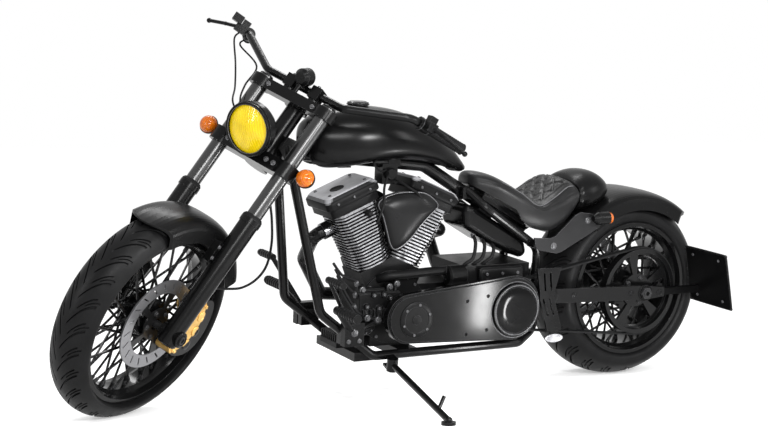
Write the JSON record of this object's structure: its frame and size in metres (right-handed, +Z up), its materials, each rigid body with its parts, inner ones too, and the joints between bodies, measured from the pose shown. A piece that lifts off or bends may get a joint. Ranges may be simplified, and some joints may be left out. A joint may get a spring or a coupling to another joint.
{
  "type": "cruiser motorcycle",
  "caption": "Low custom cruiser motorcycle with a V-twin engine, wire wheels and a solo seat, parked on its side stand with the bars turned left.",
  "frame": {"origin": "on the floor, at the middle of the machine's bounding box as it stands on its side stand", "axes": "+X the way the machine drives, +Y its rider's left, +Z up"},
  "size_m": [2.4031, 0.9984, 1.2483],
  "materials": {
    "tyre_rubber": "matte",
    "satin_black": "satin",
    "gloss_black": "gloss",
    "disc_steel": "brushed",
    "dark_chrome": "polished",
    "gold_calliper": "anodised",
    "engine_black": "satin",
    "rocker_grey": "satin",
    "seat_leather": "grained",
    "grip_rubber": "matte",
    "headlamp_glass": "clear",
    "signal_amber": "clear"
  },
  "bodies": {
    "chassis": {"frame_spine": "satin_black", "frame_left": "satin_black", "frame_right": "satin_black", "swing_arm": "satin_black", "rear_axle": "dark_chrome", "engine_case": "engine_black", "cylinders": "engine_black", "rocker_boxes": "rocker_grey", "pushrod_tubes": "dark_chrome", "horn_cover": "rocker_grey", "air_cleaner": "gloss_black", "primary_cover": "gloss_black", "derby_cover": "gloss_black", "drive_belt": "grip_rubber", "pulley_cover": "satin_black", "oil_tank": "gloss_black", "exhaust_pipes": "dark_chrome", "fuel_tank": "gloss_black", "tank_cap": "dark_chrome", "seat": "seat_leather", "seat_cowl": "gloss_black", "rear_guard": "gloss_black", "guard_struts": "rocker_grey", "rear_signals": "satin_black", "rear_signal_lenses": "signal_amber", "number_plate": "satin_black", "rear_calliper": "engine_black", "forward_controls": "satin_black", "regulator": "satin_black"},
    "front_wheel": {"front_tyre": "tyre_rubber", "front_rim": "satin_black", "front_disc": "disc_steel"},
    "rear_wheel": {"rear_tyre": "tyre_rubber", "rear_rim": "satin_black", "rear_pulley": "satin_black", "rear_disc": "disc_steel"},
    "fork": {"fork_sliders": "gloss_black", "fork_tubes": "dark_chrome", "lower_yoke": "satin_black", "upper_yoke": "satin_black", "front_axle": "dark_chrome", "front_guard": "gloss_black", "front_calliper": "gold_calliper", "headlamp_shell": "satin_black", "headlamp_lens": "headlamp_glass", "front_signals": "satin_black", "front_signal_lenses": "signal_amber", "handlebar": "satin_black", "bar_clamps": "satin_black", "grips": "grip_rubber", "bar_controls": "satin_black", "gauge": "satin_black", "brake_hoses": "grip_rubber"},
    "side_stand": {"side_stand": "satin_black"}
  },
  "joints": [
    {"name": "steering", "type": "hinge", "parent": "chassis", "child": "fork", "pos_m": [0.8582, -0.09112, 0.2925], "axis": [0.5882, -0.084, -0.8043], "range_deg": [0, 68]},
    {"name": "front_wheel_spin", "type": "hinge", "parent": "fork", "child": "front_wheel", "pos_m": [0.89237, -0.06013, 0.31425], "axis": [-0.4529, 0.7897, -0.4137], "continuous": true},
    {"name": "rear_wheel_spin", "type": "hinge", "parent": "chassis", "child": "rear_wheel", "pos_m": [-0.88063, -0.08973, 0.32013], "axis": [-0.0009, 0.9945, -0.1045], "continuous": true},
    {"name": "stand_hinge", "type": "hinge", "parent": "chassis", "child": "side_stand", "pos_m": [0.10276, 0.06722, 0.12155], "axis": [0.0427, 0.2516, 0.9669], "range_deg": [0, 90]}
  ]
}
